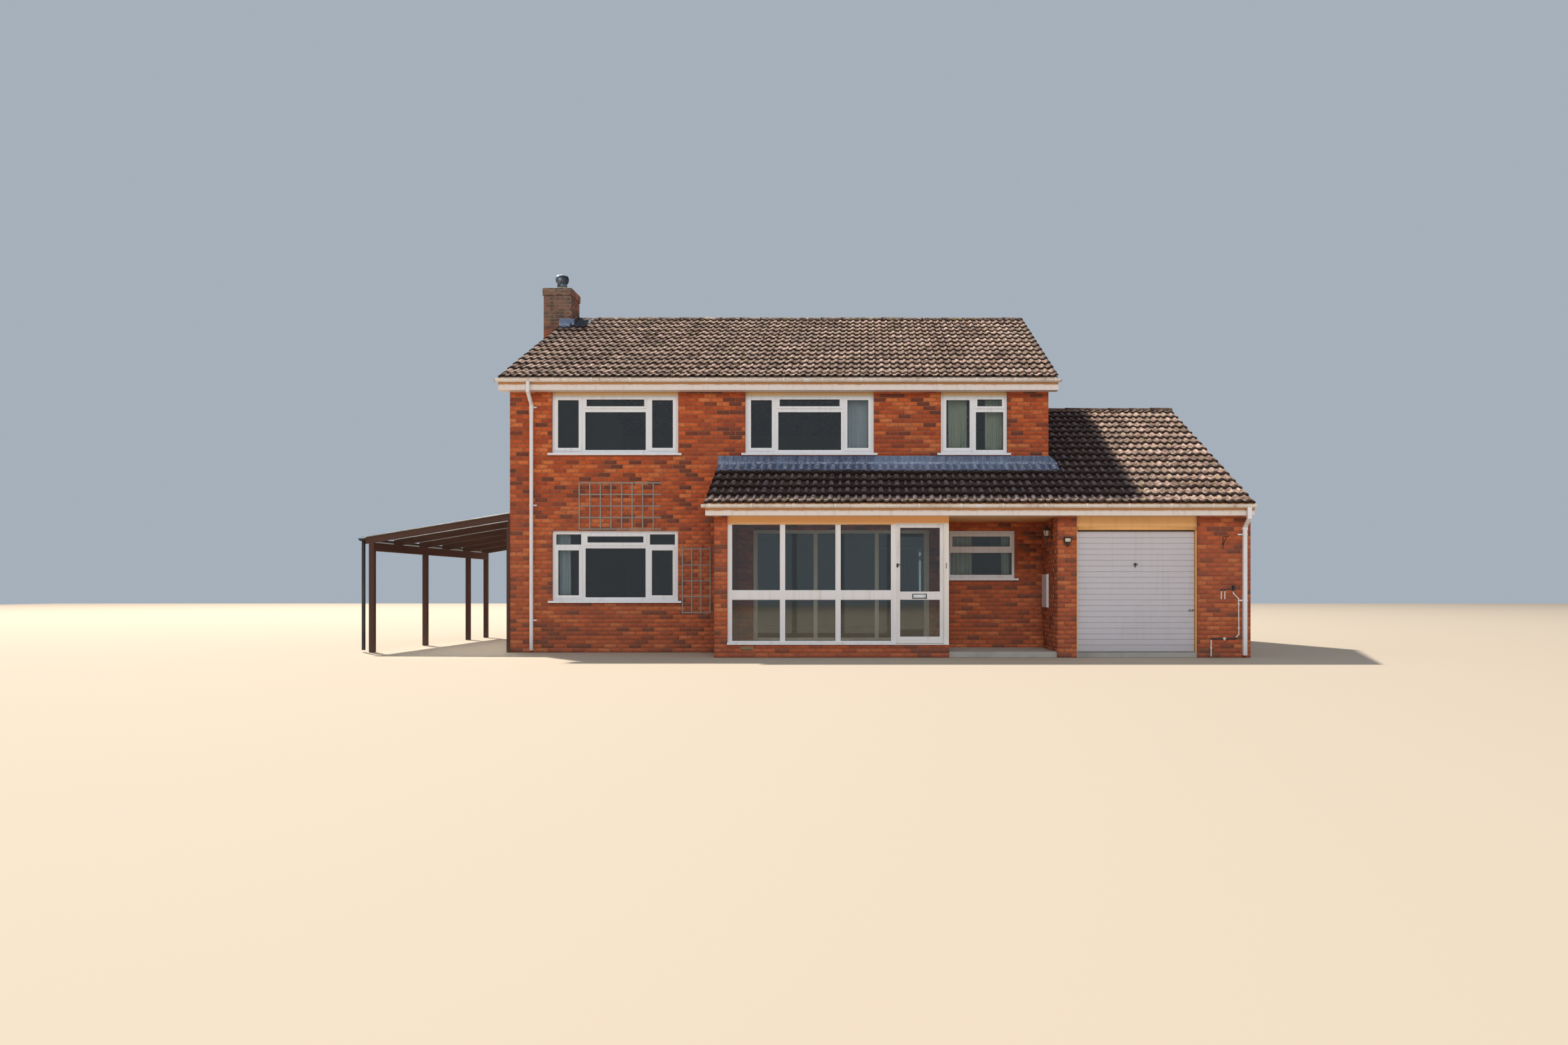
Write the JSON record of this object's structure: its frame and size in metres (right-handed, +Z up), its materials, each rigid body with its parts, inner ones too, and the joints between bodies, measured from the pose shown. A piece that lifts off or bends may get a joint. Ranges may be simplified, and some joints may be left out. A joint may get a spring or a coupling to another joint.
{
  "type": "detached brick house with porch, garage and carport",
  "caption": "Two-storey brick house with a gabled tiled roof, a lower roof over a glazed porch, a recess and a garage, a gable chimney and a lean-to carport.",
  "frame": {"origin": "on the ground in the middle of the two-storey block, at the underside of its floor slab", "axes": "+X to the right along the front, +Y from the front to the back, +Z up"},
  "size_m": [15.487, 10.716, 7.912],
  "materials": {
    "brick": "matt, mixed red and brown stretchers with buff joints",
    "concrete": "matt",
    "roof_tile": "matt, weathered with lichen",
    "lead": "dull, oxidised",
    "white_plastic": "satin",
    "white_paint": "satin paint, stained",
    "cream_paint": "satin paint",
    "glass": "clear",
    "timber": "dark stain",
    "weathered_lath": "grey, unfinished",
    "floor_timber": "unfinished",
    "clear_sheet": "clear, corrugated",
    "black_plastic": "satin",
    "black_metal": "satin",
    "door_enamel": "satin enamel",
    "steel": "galvanised",
    "curtain_fabric": "matt, lined curtain cloth",
    "mortar": "matt cement bedding",
    "clay_pot": "matt, sooted"
  },
  "bodies": {
    "house": {"ground_floor": "concrete", "first_floor": "floor_timber", "front_wall": "brick", "back_wall": "brick", "left_gable": "brick", "right_gable": "brick", "chimney_breast": "brick", "chimney_stack": "brick", "chimney_pot": "clay_pot", "front_roof_slope": "roof_tile", "back_roof_slope": "roof_tile", "ridge_tiles": "roof_tile", "bargeboards": "white_paint", "eaves_boards": "white_paint", "gutters": "white_plastic", "downpipes": "white_plastic", "lead_flashing": "lead", "front_windows": "white_plastic", "front_glass": "glass", "back_windows": "white_plastic", "back_glass": "glass", "hall_screen": "white_paint", "porch_floor": "concrete", "porch_wall": "brick", "porch_screen": "white_paint", "porch_glass": "glass", "porch_door_frame": "cream_paint", "porch_door_hinges": "steel", "porch_return": "white_paint", "porch_ceiling": "cream_paint", "low_front_slope": "roof_tile", "low_back_slope": "roof_tile", "garage_floor": "concrete", "garage_front_walls": "brick", "garage_party_wall": "brick", "garage_back_wall": "brick", "garage_door_frame": "cream_paint", "garage_door_tracks": "steel", "carport_posts": "timber", "carport_beams": "timber", "carport_rafters": "timber", "carport_sheet": "clear_sheet", "carport_gutter": "black_plastic", "trellis": "weathered_lath", "wall_lights": "black_metal", "meter_box": "white_plastic", "outside_tap": "white_plastic", "basket_bracket": "black_metal"},
    "porch_door": {"porch_door": "white_paint", "porch_door_glass": "glass", "porch_door_fittings": "black_metal"},
    "garage_rollers": {"garage_door_rollers": "steel"},
    "garage_door": {"garage_door": "door_enamel", "garage_door_handle": "black_metal"},
    "cowl": {"rotary_cowl": "steel"}
  },
  "joints": [
    {"name": "porch_door_hinge", "type": "hinge", "parent": "house", "child": "porch_door", "pos_m": [2.8665, -5.669, 1.235], "axis": [0, 0, -1], "range_deg": [0, 90]},
    {"name": "garage_door_lift", "type": "slide", "parent": "house", "child": "garage_rollers", "axis": [0, 0, 1], "range_m": [0, 1.228]},
    {"name": "garage_door_tilt", "type": "hinge", "parent": "garage_rollers", "child": "garage_door", "pos_m": [6.0645, -5.6, 0.795], "axis": [-1, 0, 0], "range_deg": [0, 90]},
    {"name": "cowl_spin", "type": "hinge", "parent": "house", "child": "cowl", "pos_m": [-4.99, -0.32, 7.7], "axis": [0, 0, 1], "continuous": true}
  ],
  "couplings": [
    {"joint": "garage_door_lift", "follows": "garage_door_tilt", "m_per_rad": 0.7817}
  ]
}
